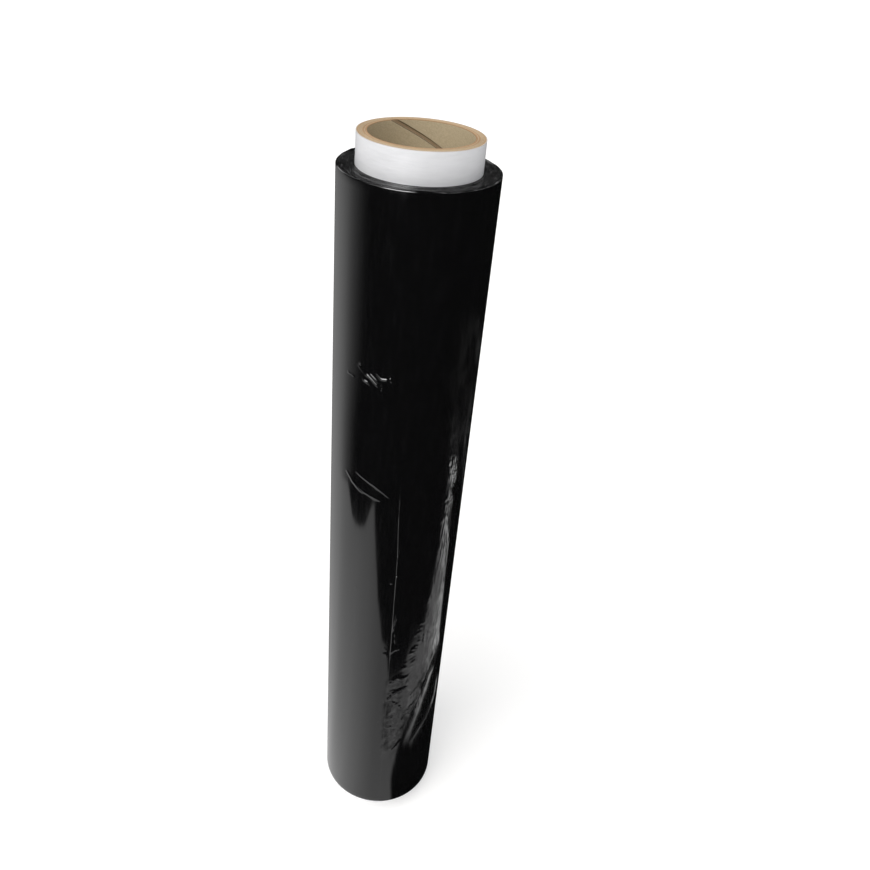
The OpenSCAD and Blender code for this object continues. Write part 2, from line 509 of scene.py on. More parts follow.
# Single sharp creases: points in degrees and mm, then height and half width in shares
CREASES = (
    (((-127, 380.5), (-122, 377.3), (-118, 375.4)), 0.7, 0.9),
    (((-122.2, 373.2), (-118.4, 371.9), (-115.5, 371.4)), 1.0, 0.8),
    (((-120, 377.2), (-114.4, 374.4), (-109.3, 371.4)), 1.2, 0.8),
    (((-116.5, 377.8), (-112.4, 375.6), (-109, 373.6)), 1.2, 0.75),
    (((-112.3, 378.9), (-107.4, 376.3), (-102, 376.4)), 1.2, 0.8),
    (((-101, 378), (-98.6, 375.4)), 0.9, 0.8),
    (((-123, 373.4), (-117, 372.2)), 0.7, 0.8),
    (((-138, 373), (-130, 372.6)), 0.7, 0.9),
    (((-137, 311.5), (-128, 306), (-118.5, 302.9), (-110, 301), (-101, 299.5)), 0.65, 1.1),
    (((-127, 314.5), (-117, 311.6), (-108, 309), (-99.7, 305.2), (-92, 300.8)), 0.65, 1.1),
    (((-131, 307.2), (-124, 303.5), (-118, 301.2)), 0.5, 0.9),
    (((-83, 269.5), (-84.2, 262), (-86, 255)), 1.0, 0.8),
    (((-82.1, 215), (-82.7, 209), (-84.2, 203), (-84.6, 197)), 1.0, 0.8),
    (((-82.2, 198), (-81.4, 186)), 0.6, 0.8),
    (((-85.4, 177.5), (-81.5, 181), (-77, 181.5)), 1.0, 1.0),
    (((-93, 176.6), (-87.6, 176)), 0.9, 0.8),
    (((-92, 180.5), (-87.8, 179.6)), 0.6, 0.8),
    (((-36.4, 147), (-41, 137.8), (-44.3, 129.7), (-48.7, 119.6), (-51.3, 108.2), (-57.5, 93.3),
      (-61.5, 84)), 0.08, 2.6),
    (((-20.4, 127), (-21.8, 107), (-30.1, 100.4), (-36.9, 94.4), (-44.1, 87.1)), 0.08, 2.2),
    (((-61.5, 114), (-55.5, 126), (-50.5, 134)), 1.2, 1.5),
    (((-89, 130), (-84.6, 133), (-77.7, 139.6), (-69.4, 142.5), (-65, 143)), 1.2, 1.4),
    (((-84.5, 147), (-82.6, 149), (-77.9, 153.6), (-72.5, 152.4), (-69, 152)), 1.1, 1.2),
    (((-80.6, 129.6), (-77.3, 127.8)), 1.0, 1.3),
    (((-73.2, 124.8), (-70.2, 122.6)), 1.0, 1.3),
    (((-63.8, 118.4), (-58.8, 122.4)), 0.9, 1.3),
    (((-84, 110.5), (-79, 113.4)), 0.6, 1.2),
    (((-84, 101.4), (-78, 103.5)), 0.6, 1.2),
    (((-78, 77), (-69.1, 89.2)), 1.0, 1.8),
    (((-23, 328), (-18.5, 305), (-18, 289), (-20, 262)), 0.8, 1.4),
    (((-79.5, 388), (-80, 377)), 0.4, 1.1),
)
# Tiny bumps where grit lies under the film: direction, height in mm, rise and half width in mm
SPECKS = ((-124.8, 381.3, 0.42, 0.7), (-106.4, 370.4, 0.3, 0.6), (-121, 228, 0.22, 0.7),
          (-32, 345, 0.35, 1.2), (-84.2, 296, 0.2, 0.6), (-58.5, 283, 0.25, 0.6),
          (-84.9, 244.5, 0.45, 0.5), (-88.8, 238.5, 0.45, 0.5), (-106.8, 373, 0.25, 0.5))


def crease_relief(side, height, radius):
    """The relief of all the sharp creases, in shares of their height."""
    around = np.radians(side) * radius
    noise = GradientNoise(5)
    jog = 0.3 * MM * noise.at(around / (2.2 * MM), height / (2.2 * MM), 0.5)
    around, height = around + jog, height - jog
    relief = np.zeros(side.shape)
    for points, tall, wide in CREASES:
        line = np.array([(math.radians(turn) * radius, level * MM) for turn, level in points])
        lengths = np.linalg.norm(np.diff(line, axis=0), axis=1)
        total, passed = lengths.sum(), 0.0
        nearest = np.full(side.shape, 1.0)
        place = np.zeros(side.shape)
        for first, second, length in zip(line[:-1], line[1:], lengths):
            way = (second - first) / length
            along = np.clip((around - first[0]) * way[0] + (height - first[1]) * way[1], 0, length)
            away = np.hypot(around - first[0] - along * way[0], height - first[1] - along * way[1])
            closer = away < nearest
            nearest = np.where(closer, away, nearest)
            place = np.where(closer, (passed + along) / total, place)
            passed += length
        taper = np.clip(7 * place * (1 - place), 0, 1) ** 0.7
        relief += tall * taper * np.exp(-(nearest / (wide * 0.55 * MM)) ** 1.6)
    return relief * np.clip(1 + 0.5 * noise.at(around / (5 * MM), height / (5 * MM), 3.5), 0.5, 1.4)


def tight_relief(side, height, film, slack):
    """Faint ripples and single creases, which all of the outer turn has."""
    noise = GradientNoise(film.seed)
    radius = film.radius / MM
    x, y, up = radius * np.cos(np.radians(side)), radius * np.sin(np.radians(side)), height / MM
    relief = slack.ripple * (noise.at(x / 60, y / 60, up / 26) + noise.layers(x / 16, y / 16, up / 70))
    relief += slack.crease_height * crease_relief(side, height, film.radius)
    for turn, level, tall, wide in SPECKS:
        away = np.hypot((side - turn) / 180 * math.pi * film.radius, height - level * MM)
        relief += tall * MM * np.exp(-(away / (wide * MM)) ** 2)
    return relief


def strip_relief(side, up, radius, slack, noise, other):
    """The ragged strip's relief, where the strip is, and how high its folds stand there."""
    around = np.radians(side) * radius
    levels, lefts, rights = np.array(STRIP_EDGES).T
    left = np.interp(up, levels, lefts) + 1.8 * other.layers(up / 8, 1.2, count=4, gain=0.6)
    right = np.interp(up, levels, rights) + 0.6 * noise.at(up / 17, 3.5)
    strip = rise_fall(side, left - 1.2, left + 2, right - 1.5, right + 1)
    strip *= window(up, 118, 328, 8)

    off = np.radians(side - (left + right) / 2) * radius
    bent = off + 1.3 * noise.at(around / 7, up / 16) + 0.7 * noise.at(around / 3, up / 6)
    wide = np.interp(up, *FOLD_WIDTH)
    folds = other.ridges(bent / (2.9 * wide), up / 30)
    folds = folds + 0.6 * noise.ridges(bent / (1.5 * wide), up / 12, 4.0, 3.0)
    broken = np.clip(0.8 + 0.9 * other.layers(around / 6, up / 13, 8.5), 0.15, 1.6)
    size = np.interp(up, *FOLD_SIZE)
    relief = slack.strip_height * strip * size * ((folds - 0.5) * broken)

    blobs = window(up, 284, 326, 8) * other.ridges(around / 5.5, up / 3.4, 6.0, 2.5)
    relief += 0.7 * slack.strip_height * strip * (blobs - 0.3)
    ticks = window(side, left - 7, left - 0.5, 1.5) * window(up, 190, 300, 18)
    ticks *= soft_step(other.at(up / 9, 4.4), 0.0, 0.5)
    relief += 0.5 * slack.strip_height * ticks * other.ridges(around / 3, up / 4, 6.0, 4.0)
    return relief, strip, size


def fan_relief(side, up, radius, slack, strip, noise, other):
    """The relief of the folds that fan out below the strip, and where they are."""
    around = np.radians(side) * radius
    across, drop = np.radians(FAN_ROOT[0] - side) * radius, FAN_ROOT[1] - up
    reach = np.hypot(across, drop)
    spread = np.degrees(np.arctan2(across, drop)) + 11 * noise.at(around / 11, up / 15)
    ceiling = np.interp(side, *FAN_CEILING) + 5 * noise.at(around / 5, 0.3)
    last = np.interp(up, *FAN_LAST)
    fan = rise_fall(side, -85.5, -79, last - 6, last) * rise_fall(up, 52, 84, ceiling - 9, ceiling + 3)
    fan *= 1 - 0.6 * strip
    fan *= soft_step(other.at(around / 8, up / 11, 11.0), -0.3, 0.3)
    rays = noise.ridges(spread / 15, reach / 34, 2.0, 3.0)
    rays = rays + 0.5 * other.ridges(spread / 7, reach / 13, 5.0, 3.0)
    return slack.fan_height * fan * soft_step(reach, 3, 22) * (rays - 0.5), fan


def slack_relief(side, height, film, slack):
    """The folds of the slack part of the outer turn, and how crinkled each place is."""
    noise, other = GradientNoise(film.seed + 4), GradientNoise(film.seed + 1)
    radius, up = film.radius / MM, height / MM
    relief, strip, size = strip_relief(side, up, radius, slack, noise, other)
    folds, fan = fan_relief(side, up, radius, slack, strip, noise, other)
    cloud = window(side, -58, -14, 8) * window(up, 330, 402, 14)
    relief += folds
    relief += 0.07 * MM * cloud * noise.layers(np.radians(side) * radius / 5.5, up / 7, 9.0)
    return relief, np.clip(strip * (0.4 + 0.6 * size) + 0.6 * fan + 0.3 * cloud, 0, 1)


def ring_faces(rows, count):
    """Faces between closed rings of points that lie one above the other."""
    column = np.arange(count)
    beside = (column + 1) % count
    faces = [np.column_stack((row * count + column, row * count + beside,
                              (row + 1) * count + beside, (row + 1) * count + column))
             for row in range(rows - 1)]
    return np.concatenate(faces).tolist()


def marked_mesh(name, points, faces, mark, values):
    """A mesh with a number at each of its points."""
    mesh = bpy.data.meshes.new(name)
    mesh.from_pydata(points.tolist(), [], faces)
    mesh.attributes.new(mark, "FLOAT", "POINT").data.foreach_set("value", values)
    return mesh


def film_mesh(name, rings, faces, crinkle):
    """A smooth mesh from rings of points, with a mark for how crinkled each point is."""
    mesh = marked_mesh(name, np.concatenate(rings), faces, "crinkle", crinkle)
    mesh.shade_smooth()
    return mesh


def ring(sides, radius, level):
    """Points round the roll's axis."""
    x, y = np.cos(np.radians(sides)) * radius, np.sin(np.radians(sides)) * radius
    return np.column_stack((x, y, np.broadcast_to(level, x.shape)))


# Round the roll from the free edge, in degrees: where the turn below comes up, and where the tail ends
TAIL_BLEND = (40, 92)
TAIL_END = 108
# The tail's underside is flat from piece to piece, and its outside has finer columns
TAIL_PIECES, PIECE_COLUMNS = 42, 4
# How far the tail's underside stands in the turn below, and its least thickness
SINK, LEAST_TAIL = 0.06 * MM, 0.1 * MM
# Radius of the bend at the outer turn's two ends
EDGE_BEND = 0.6 * MM
# Where the rows of the outer turn, and those of its tail, lie closer together for creases, grit and
# folds: the weight that is added, then the lowest and highest place and the softness in metres
TURN_ROWS = ((0.45, 0.1, 0.33, 0.02), (3.2, 0.368, 0.385, 0.003), (2.6, 0.297, 0.318, 0.003),
             (3.5, 0.2365, 0.2405, 0.0005))
TAIL_ROWS = ((1.0, 0.07, 0.335, 0.015), (0.3, 0.335, 0.4, 0.01), (3.0, 0.2425, 0.2465, 0.0005))


def end_fade(level, film):
    """1 along the film and 0 at both of its ends."""
    return rise_fall(level, film.foot, film.foot + 4 * MM, film.top - 4 * MM, film.top)


def lower_turn_mesh(film, slack):
    """The outer turn as a closed sleeve, which dips under the film's tail by the tail's lift."""
    edge = math.degrees(film.edge_side)
    sides = crowded(edge - 150, edge + 210, 301, 0.7, [(1.6, edge - 56, edge + 3, 5)])[:-1]
    levels = crowded(film.foot + EDGE_BEND, film.top - EDGE_BEND, 300, 0.35, TURN_ROWS)
    side, level = np.meshgrid(sides, levels)
    past = (side - edge) % 360
    under = 1 - soft_step(past, *TAIL_BLEND) + soft_step(past, 200, 330)
    tight = tight_relief(side, level, film, slack) * end_fade(level, film)
    reach = film.radius - film.edge_lift * under + tight

    noise = GradientNoise(film.seed + 3)
    x, y = np.cos(np.radians(sides)), np.sin(np.radians(sides))
    wave = 0.35 * MM * noise.layers(x * 3, y * 3, 0.5)
    inner = film.radius - film.turn_thickness

    def lip(row, edge_level, outward):
        """Rings that round the sleeve's wall over to its inside."""
        return [ring(sides, reach[row] - EDGE_BEND * (1 - math.cos(angle)),
                     edge_level + outward * (EDGE_BEND * math.sin(angle) + wave * angle))
                for angle in (0.4, 0.8, 1.2, math.pi / 2)]

    top_lip = lip(-1, film.top - EDGE_BEND, 1)
    foot_lip = lip(0, film.foot + EDGE_BEND, -1)
    rings = [ring(sides, inner, foot_lip[-1][:, 2]), *foot_lip[::-1]]
    rings += [ring(sides, reach[row], levels[row]) for row in range(len(levels))]
    rings += [*top_lip, ring(sides, inner, top_lip[-1][:, 2])]
    rings.append(rings[0])
    faces = ring_faces(len(rings), len(sides))
    last = (len(rings) - 1) * len(sides)
    faces = [[point - last if point >= last else point for point in face] for face in faces]
    return film_mesh("film_outer_turn", rings[:-1], faces, np.zeros(last))


def tail_mesh(film, slack):
    """The film's slack tail, from its free edge to where it joins the turn below."""
    edge = math.degrees(film.edge_side)
    noise = GradientNoise(film.seed + 2)
    zones = (1.4, edge + 1, edge + 62, 5), (6, edge - 5, edge + 1.4, 0.6)
    sides = crowded(edge, edge + TAIL_END, TAIL_PIECES * PIECE_COLUMNS + 1, 0.35, zones)
    low, high = film.foot + 0.2 * MM, film.top - 0.2 * MM
    corner = np.array((0.0, 0.03, 0.12)) * MM
    levels = crowded(low + 0.25 * MM, high - 0.25 * MM, 434, 0.3, TAIL_ROWS)
    levels = np.concatenate((low + corner, levels, high - corner[::-1]))
    side, level = np.meshgrid(sides, levels)
    up = level / MM
    past = side - edge
    meander = 0.35 * noise.at(up / 40, 0.5) + 0.15 * noise.at(up / 9, 2.5) - 1.6 * soft_step(up, 255, 305)
    side = side + meander * (1 - soft_step(past, 0, 12))

    folds, crinkle = slack_relief(side, level, film, slack)
    fade = end_fade(level, film)
    lifted = np.clip(0.8 + 0.5 * noise.layers(up / 15, 5.1), 0.2, 1) * window(up, 176, 312, 10)
    stuck = (1 - lifted) * (1 - soft_step(past, 0, 18)) * 0.75
    curl = -0.95 * lifted * np.clip(1 - past / 0.9, 0, 1) ** 2
    sunk = SINK * soft_step(past, TAIL_END - 12, TAIL_END)
    reach = (film.radius + film.edge_lift * (curl - stuck) - sunk
             + (folds + tight_relief(side, level, film, slack)) * fade)
    floor = film.radius - film.edge_lift - SINK
    reach = np.maximum(reach, floor + LEAST_TAIL)
    reach[:, 0] -= SINK

    inner = slice(None, None, -PIECE_COLUMNS)
    rings = []
    for row, place in enumerate(levels):
        outside = ring(side[row], reach[row], place)
        inside = ring(side[row][inner], floor, place)
        rings.append(np.concatenate((outside, inside)))
    wave = 0.12 * MM * noise.layers(np.radians(sides) * 4, 8.8)
    shift = np.concatenate((wave, wave[inner]))
    for place in range(len(corner)):
        rings[place][:, 2] -= shift
        rings[-1 - place][:, 2] += shift
    count = len(rings[0])
    outer_count = len(sides)
    faces = ring_faces(len(rings), count)
    top = (len(rings) - 1) * count
    for piece in range(TAIL_PIECES):
        first, last = piece * PIECE_COLUMNS, outer_count + TAIL_PIECES - piece
        cap = [*range(first, first + PIECE_COLUMNS + 1), last - 1, last]
        faces.append([top + point for point in cap])
        faces.append(cap[::-1])
    mark = np.zeros((len(rings), count))
    mark[:, :outer_count] = crinkle
    return film_mesh("film_tail", rings, faces, mark.ravel())


def tint(colour, share):
    """A darker or lighter tone of a colour."""
    return [part * share for part in colour]


class Shading(Wiring):
    """A material that is built in few words."""

    def __init__(self, name, **surface):
        self.material = bpy.data.materials.new(name)
        self.material.use_nodes = True
        super().__init__(self.material.node_tree)
        self.surface = self.tree.nodes["Principled BSDF"]
        self.fill(self.surface, **surface)
        self.place = self.out(self.node("ShaderNodeTexCoord"), "Object")
        parts = self.node("ShaderNodeSeparateXYZ")
        self.put(parts.inputs[0], self.place)
        x, y, self.z = (self.out(parts, axis) for axis in "XYZ")
        self.radius = self.math("SQRT", x * x + y * y)
        self.turn = self.math("ARCTAN2", y, x) / math.tau

    def colour(self, share, first, second):
        """A colour between two others."""
        node = self.node("ShaderNodeMix", data_type="RGBA")
        for place, value in ((0, share), (6, first), (7, second)):
            self.put(node.inputs[place], value if isinstance(value, Wire) else (*value, 1.0))
        return self.out(node, 2)

    def texture(self, place, detail, roughness=0.5):
        """Noise at a place."""
        node = self.node("ShaderNodeTexNoise")
        self.fill(node, Vector=place, Scale=1.0, Detail=detail, Roughness=roughness)
        return self.out(node)

    def noise(self, stretch, detail=3.0, roughness=0.5):
        """Noise over the object, stretched along X, Y and Z."""
        mapping = self.fill(self.node("ShaderNodeMapping"), Vector=self.place, Scale=stretch)
        return self.texture(self.out(mapping), detail, roughness)

    def wall_noise(self, around, up, slant=0.0, detail=3.0):
        """Noise that follows the wall: scale round it, scale up it, and its slant."""
        lean = self.turn * math.tau + self.z * slant
        return self.texture(self.round_point(lean, around, self.z * up), detail)

    def bump(self, height, distance, strength=1.0, **below):
        """Bump on the surface from a height, in metres."""
        node = self.node("ShaderNodeBump")
        self.fill(node, Height=height, Distance=distance, Strength=strength, **below)
        return self.out(node)


def board_material(core, colours):
    """Raw spiral-wound board: fibres, ply lines at the cut ends and a rubbed bore."""
    s = Shading("Core Board", Roughness=0.82, Specular_IOR_Level=0.25)
    ply = (s.radius - core.bore_radius) * (core.plies / (core.board_radius - core.bore_radius))
    ply = ply + (s.noise((60, 60, 5)) - 0.5) * 0.25
    lines = s.ramp(s.off_whole(ply), 0.02, 0.2, 1.0, 0.0)
    cut = s.colour(lines * 0.75, colours.board_end, colours.board_line)
    for middle, share in ((0.35, 0.85), (2.3, 0.7), (6.3, 0.35)):
        cut = s.colour(s.ramp(abs(ply - middle), 0.3, 0.7, share, 0.0), cut, colours.board_first)

    fibres = s.wall_noise(70, 900, slant=-math.tau / core.seam_pitch, detail=5.0)
    cloth = s.noise((1500, 1500, 1500), detail=4.0, roughness=0.65)
    bore = s.colour(s.ramp(fibres, 0.3, 0.7, 0.0, 0.5), colours.board_bore, tint(colours.board_bore, 0.72))
    away = s.off_whole(s.z / core.seam_pitch - (s.turn - core.seam_start / math.tau)) * core.seam_pitch
    gap = s.ramp(away, core.seam_width * 0.5, core.seam_width * 0.7, 0.8, 0.0)
    bore = s.colour(gap, bore, tint(colours.board_line, 0.8))
    rim = s.ramp(abs(away - core.seam_width * 0.5), 0.1 * MM, 0.35 * MM, 0.8, 0.0)
    bore = s.colour(rim, bore, tint(colours.board_bore, 0.25))

    on_bore = s.ramp(s.radius, core.bore_radius + 0.5 * MM, core.bore_radius + 0.62 * MM, 1.0, 0.0)
    below_rim = s.ramp(s.z, core.length - 0.3 * MM, core.length - 0.1 * MM, 1.0, 0.0)
    above_foot = s.ramp(s.z, 0.1 * MM, 0.3 * MM)
    tone = s.colour(on_bore * (below_rim * above_foot), cut, bore)
    tone = s.colour(s.ramp(cloth, 0.35, 0.7, 0.0, 0.22), tone, tint(colours.board_line, 0.6))
    s.fill(s.surface, Base_Color=tone, Normal=s.bump(cloth + fibres * 0.7, 0.12 * MM, 0.8))
    return s.material


def paper_material(core, colours):
    """Smooth white paper with faint streaks and clouds, and a browner cut edge at the rim."""
    s = Shading("White Paper", Roughness=0.42, Coat_Weight=0.25, Coat_Roughness=0.3)
    streaks = s.wall_noise(3, 700, detail=4.0)
    cloud = s.noise((60, 60, 45))
    worn = tint(colours.paper, 0.9)
    tone = s.colour(s.ramp(streaks, 0.4, 0.7, 0.0, 0.35), colours.paper, worn)
    tone = s.colour(s.ramp(cloud, 0.5, 0.75, 0.0, 0.3), tone, worn)
    cut = s.ramp(s.z, core.length - 0.25 * MM, core.length - 0.02 * MM)
    tone = s.colour(cut * 0.5, tone, tint(colours.board_end, 0.9))
    relief = s.bump(s.noise((900, 900, 900)), 0.03 * MM, 0.5, Normal=s.bump(streaks, 0.25 * MM, 0.6))
    s.fill(s.surface, Base_Color=tone, Normal=relief)
    return s.material


def film_face_material(colours):
    """Tight glossy black film, with fine crinkles where it is slack."""
    s = Shading("Film Face", Roughness=0.11, IOR=1.5, Coat_Weight=1.0, Coat_Roughness=0.05)
    slackness = s.out(s.node("ShaderNodeAttribute", attribute_name="crinkle"), "Fac")
    scuffs = s.wall_noise(30, 60, detail=5.0)
    tone = s.colour(s.ramp(scuffs, 0.45, 0.75, 0.0, 0.5), colours.film, tint(colours.film, 2.2))
    roughness = s.ramp(scuffs, 0.4, 0.75, 0.09, 0.16) + slackness * 0.1
    fine = s.wall_noise(20, 150, detail=1.5) * (slackness * 0.45 + 0.02)
    s.fill(s.surface, Base_Color=tone, Roughness=roughness, Normal=s.bump(fine, 0.25 * MM))
    return s.material


def film_end_material(colours):
    """The wound film's ends: the edges of many thin turns, with lighter rings that are partly their own tone
    and partly painted sheen.
    """
    s = Shading("Film Ends", Roughness=0.24, IOR=1.5, Coat_Weight=0.6, Coat_Roughness=0.12)
    rings = s.node("ShaderNodeTexNoise", noise_dimensions="1D")
    s.fill(rings, W=s.radius * 5200, Scale=1.0, Detail=4.0, Roughness=0.7)
    turns = s.out(rings)
    # Lighter rings: partly the turns' own tone, partly painted sheen on the turns' edges
    tone = s.colour(s.ramp(turns, 0.42, 0.68), colours.film, tint(colours.film, 5))
    relief = turns * 1.4 + s.noise((160, 160, 160)) * 0.6
    s.fill(s.surface, Base_Color=tone, Normal=s.bump(relief, 0.14 * MM))
    return s.material


def grow_tube(name, core, material, **sizes):
    """Make a spiral-wound tube of the core's length, with _ for a space in its inputs' names."""
    tree = bpy.data.node_groups.get("Spiral Wound Tube") or wound_tube_tree()
    values = {label.replace("_", " "): value for label, value in sizes.items()}
    return grow(name, tree, {
        "Length": core.length, "Seam Pitch": core.seam_pitch, "Seam Width": core.seam_width,
        "Overlap Width": core.overlap_width, "Columns": 128, "Material": material, **values,
    })


class ROLL_OT_core_board(bpy.types.Operator):
    """Make the spiral-wound cardboard tube"""

    bl_idname = "roll.core_board"
    bl_label = "Cardboard Core"

    def execute(self, context):
        core, colours = context.scene.roll_core, context.scene.roll_colours
        piece = grow_tube(
            "core_tube", core, board_material(core, colours),
            Bore_Radius=core.bore_radius, Outer_Radius=core.board_radius,
            Seam_Start=core.seam_start / math.tau, Seam_Depth=core.seam_depth, Overlap_Rise=0.0,
            Plies=core.plies, Ply_Groove=core.ply_groove, Bore_Rows_per_Turn=32, Outer_Rows_per_Turn=2)
        hand_over(piece, "core_board")
        return {"FINISHED"}


class ROLL_OT_core_paper(bpy.types.Operator):
    """Make the white paper round the core"""

    bl_idname = "roll.core_paper"
    bl_label = "White Core Paper"

    def execute(self, context):
        core, colours = context.scene.roll_core, context.scene.roll_colours
        piece = grow_tube(
            "core_paper", core, paper_material(core, colours),
            Bore_Radius=core.board_radius, Outer_Radius=core.paper_radius,
            Seam_Start=core.seam_start / math.tau + PAPER_TURN, Seam_Depth=0.0,
            Overlap_Rise=core.overlap_rise, Plies=1, Ply_Groove=0.0,
            Bore_Rows_per_Turn=2, Outer_Rows_per_Turn=32)
        hand_over(piece, "core_white_paper")
        return {"FINISHED"}


class ROLL_OT_film_turns(bpy.types.Operator):
    """Make the wound film, whose turns show at both ends"""

    bl_idname = "roll.film_turns"
    bl_label = "Wound Film"

    def execute(self, context):
        core, film = context.scene.roll_core, context.scene.roll_film
        piece = grow("film_turns", wound_film_tree(), {
            "Core Radius": core.paper_radius, "Outer Radius": film.radius - film.turn_thickness + 0.15 * MM,
            "Foot": film.foot + 0.3 * MM, "Top": film.top - 0.3 * MM,
            "Bands": film.bands, "Band Groove": film.band_groove, "Band Stagger": film.band_stagger,
            "Free Edge": film.edge_side / math.tau, "Columns": 200, "Rows per Band": 6, "Seed": film.seed,
            "Material": film_end_material(context.scene.roll_colours),
        })
        hand_over(piece, "film_roll")
        return {"FINISHED"}


class ROLL_OT_outer_turn(bpy.types.Operator):
    """Make the film's outer turn, and its slack tail with the folds and the free edge"""

    bl_idname = "roll.outer_turn"
    bl_label = "Outer Turn and Tail"

    def execute(self, context):
        scene = context.scene
        face = film_face_material(scene.roll_colours)
        for make in (lower_turn_mesh, tail_mesh):
            mesh = make(scene.roll_film, scene.roll_slack)
            mesh.materials.append(face)
            hand_over(new_object(mesh.name, mesh), "film_roll")
        return {"FINISHED"}


# How much the floor shines by itself, so that it looks as white as the background
FLOOR_LIFT = 0.32


def shown_rays(wiring):
    """1 for rays from the camera, a mirror or glass, and 0 for the rest."""
    path = wiring.node("ShaderNodeLightPath")
    camera, mirror = wiring.out(path, "Is Camera Ray"), wiring.out(path, "Is Glossy Ray")
    glass = wiring.out(path, "Is Transmission Ray")
    return wiring.math("MAXIMUM", wiring.math("MAXIMUM", camera, mirror), glass)


def stage_floor(light):
    """A pale floor that keeps the roll's soft shadow."""
    bpy.ops.mesh.primitive_circle_add(vertices=96, radius=14, fill_type="NGON")
    floor = bpy.context.object
    floor.name = "floor"
    material = bpy.data.materials.new("Pale Floor")
    material.use_nodes = True
    s = Wiring(material.node_tree)
    surface = material.node_tree.nodes["Principled BSDF"]
    s.fill(surface, Roughness=0.9, Specular_IOR_Level=0.1, Base_Color=(*light.floor, 1.0))
    s.fill(surface, Emission_Color=(1.0, 1.0, 1.0, 1.0), Emission_Strength=shown_rays(s) * FLOOR_LIFT)
    floor.data.materials.append(material)


# Painted reflections: the film mirrors a card that only mirrors see, not the floor that the camera sees. The
# card's zones, strip and lines are placed where the film shows its pale zones, its bright strip and the
# bright lines on its folds.
# What the film mirrors of the floor: directions in degrees from +X, and reaches in metres from the
# axis. Each table is a row of places and a row of the values there.
# Brightness of the pale floor, by direction
PALE_FLOOR = ((95, 115, 140, 163, 180, 210, 235, 250, 262, 300, 325, 345),
              (0.1, 0.22, 0.38, 0.5, 0.5, 0.58, 0.52, 0.43, 0.36, 0.31, 0.36, 0.4))
# Directions between which the pale zone behind the roll fades, by reach
BEHIND_FROM = ((0.4, 0.45), (164, 146))
BEHIND_TO = ((0.4, 0.45, 0.55, 0.68), (182, 200, 200, 208))
# The pale zone beside the roll: its last direction by reach, and its reach by direction
BESIDE_EDGE = ((0.197, 0.208, 0.225, 0.259, 0.314, 0.36, 0.411, 0.45),
               (274, 263, 259, 251, 244, 238.5, 234.7, 232))
BESIDE_REACH = ((180, 185, 189, 195, 204, 212, 218, 224, 227, 231, 240),
                (0.425, 0.41, 0.393, 0.367, 0.356, 0.356, 0.361, 0.37, 0.385, 0.4, 0.41))
# The pale zone in front of the roll, in the same way
FRONT_EDGE = ((0.07, 0.09, 0.103, 0.116, 0.124, 0.138, 0.15, 0.2),
              (292, 301, 310, 321, 325, 331, 338, 345))
FRONT_REACH = ((262, 274, 279.4, 294, 306, 310, 318, 330, 340),
               (0.2, 0.192, 0.164, 0.166, 0.18, 0.19, 0.2, 0.206, 0.21))
# Painted reflection that makes the film's ragged strip bright
# The long bright zone at the right: its first and last direction and its brightness by reach, and
# a share of that brightness by direction
STRIP_FIRST = ((0.13, 0.165, 0.18, 0.2, 0.22, 0.25, 0.32, 0.36, 0.4, 0.43, 0.47, 0.5),
               (-64, -50, -48, -30, -20, -10, 1, 1, 4, 6, 2, 6))
STRIP_LAST = ((0.13, 0.138, 0.148, 0.154, 0.164, 0.172, 0.19, 0.3, 0.345, 0.36, 0.4, 0.42, 0.47, 0.5),
              (-38, -30, -20, -8, 8, 25, 22, 20, 14, 8, 8, 14, 16, 10))
STRIP_LEVEL = ((0.14, 0.17, 0.2, 0.26, 0.285, 0.32, 0.35, 0.385, 0.47),
               (0.6, 0.56, 0.52, 0.43, 0.78, 0.82, 1.05, 2.7, 2.2))
STRIP_SHARE = ((-55, -35, -15, 5, 22), (0.5, 0.6, 0.75, 1.0, 1.35))
# Thin bright lines, painted reflections that show as fine bright lines on the film's folds: reaches,
# directions there, half width in degrees, and brightness at both ends
BRIGHT_LINES = (
    ((0.095, 0.103, 0.115, 0.124, 0.133, 0.14, 0.147), (-42, -35, -22, -16, -5, 0, 9), 8, (0.35, 0.9)),
    ((0.091, 0.096, 0.099, 0.102, 0.108, 0.121), (-32, -14, 1, 14, 30, 36), 5, (0.5, 0.3)),
    ((0.36, 0.381, 0.431, 0.48, 0.51), (62, 58, 50, 43, 39), 4, (0.06, 0.1)),
)
# Lamps in the dome: brightness, then first and last direction, and lowest and highest rise, each with
# the softness of its ends, in degrees
DOME_LAMPS = (
    (1.0, (196, 238, 6), (18, 60, 5)),
    (7.5, (224, 262, 8), (4, 42, 6)),
    (0.7, (60, 96, 6), (28, 52, 5)),
    (0.8, (128, 150, 5), (2, 70, 5)),
    (0.6, (318, 340, 5), (5, 55, 5)),
)
# What is mirrored where neither a pale zone nor a lamp is
DARK_FLOOR, DARK_DOME = 0.004, 0.015
# Columns of both mirrored cards, and the dome's radius in metres
MIRROR_COLUMNS = 720
DOME_RADIUS = 4.0


def pale_zones(turned, far, noise):
    """The pale zones of the floor behind the roll, beside it and in front of it."""
    start, stop = np.interp(far, *BEHIND_FROM), np.interp(far, *BEHIND_TO)
    behind = rise_fall(turned, 92, 110, start, stop)
    behind *= 1 - 0.9 * soft_step(far, 1.0, 3.8)

    edge = np.interp(far, *BESIDE_EDGE)
    reach = np.interp(turned, *BESIDE_REACH) + 0.003 * noise.layers(turned / 6, 0.2)
    beside = rise_fall(turned, 144, 156, edge - 2, edge + 2)
    beside *= 1 - soft_step(far, reach - 0.006, reach + 0.006)

    edge = np.interp(far, *FRONT_EDGE)
    reach = np.interp(turned, *FRONT_REACH)
    front = rise_fall(turned, 152, 168, edge - 4, edge + 2)
    front *= 1 - soft_step(far, reach - 0.012, reach + 0.008)
    return np.interp(turned, *PALE_FLOOR) * np.maximum(np.maximum(behind, beside), front)


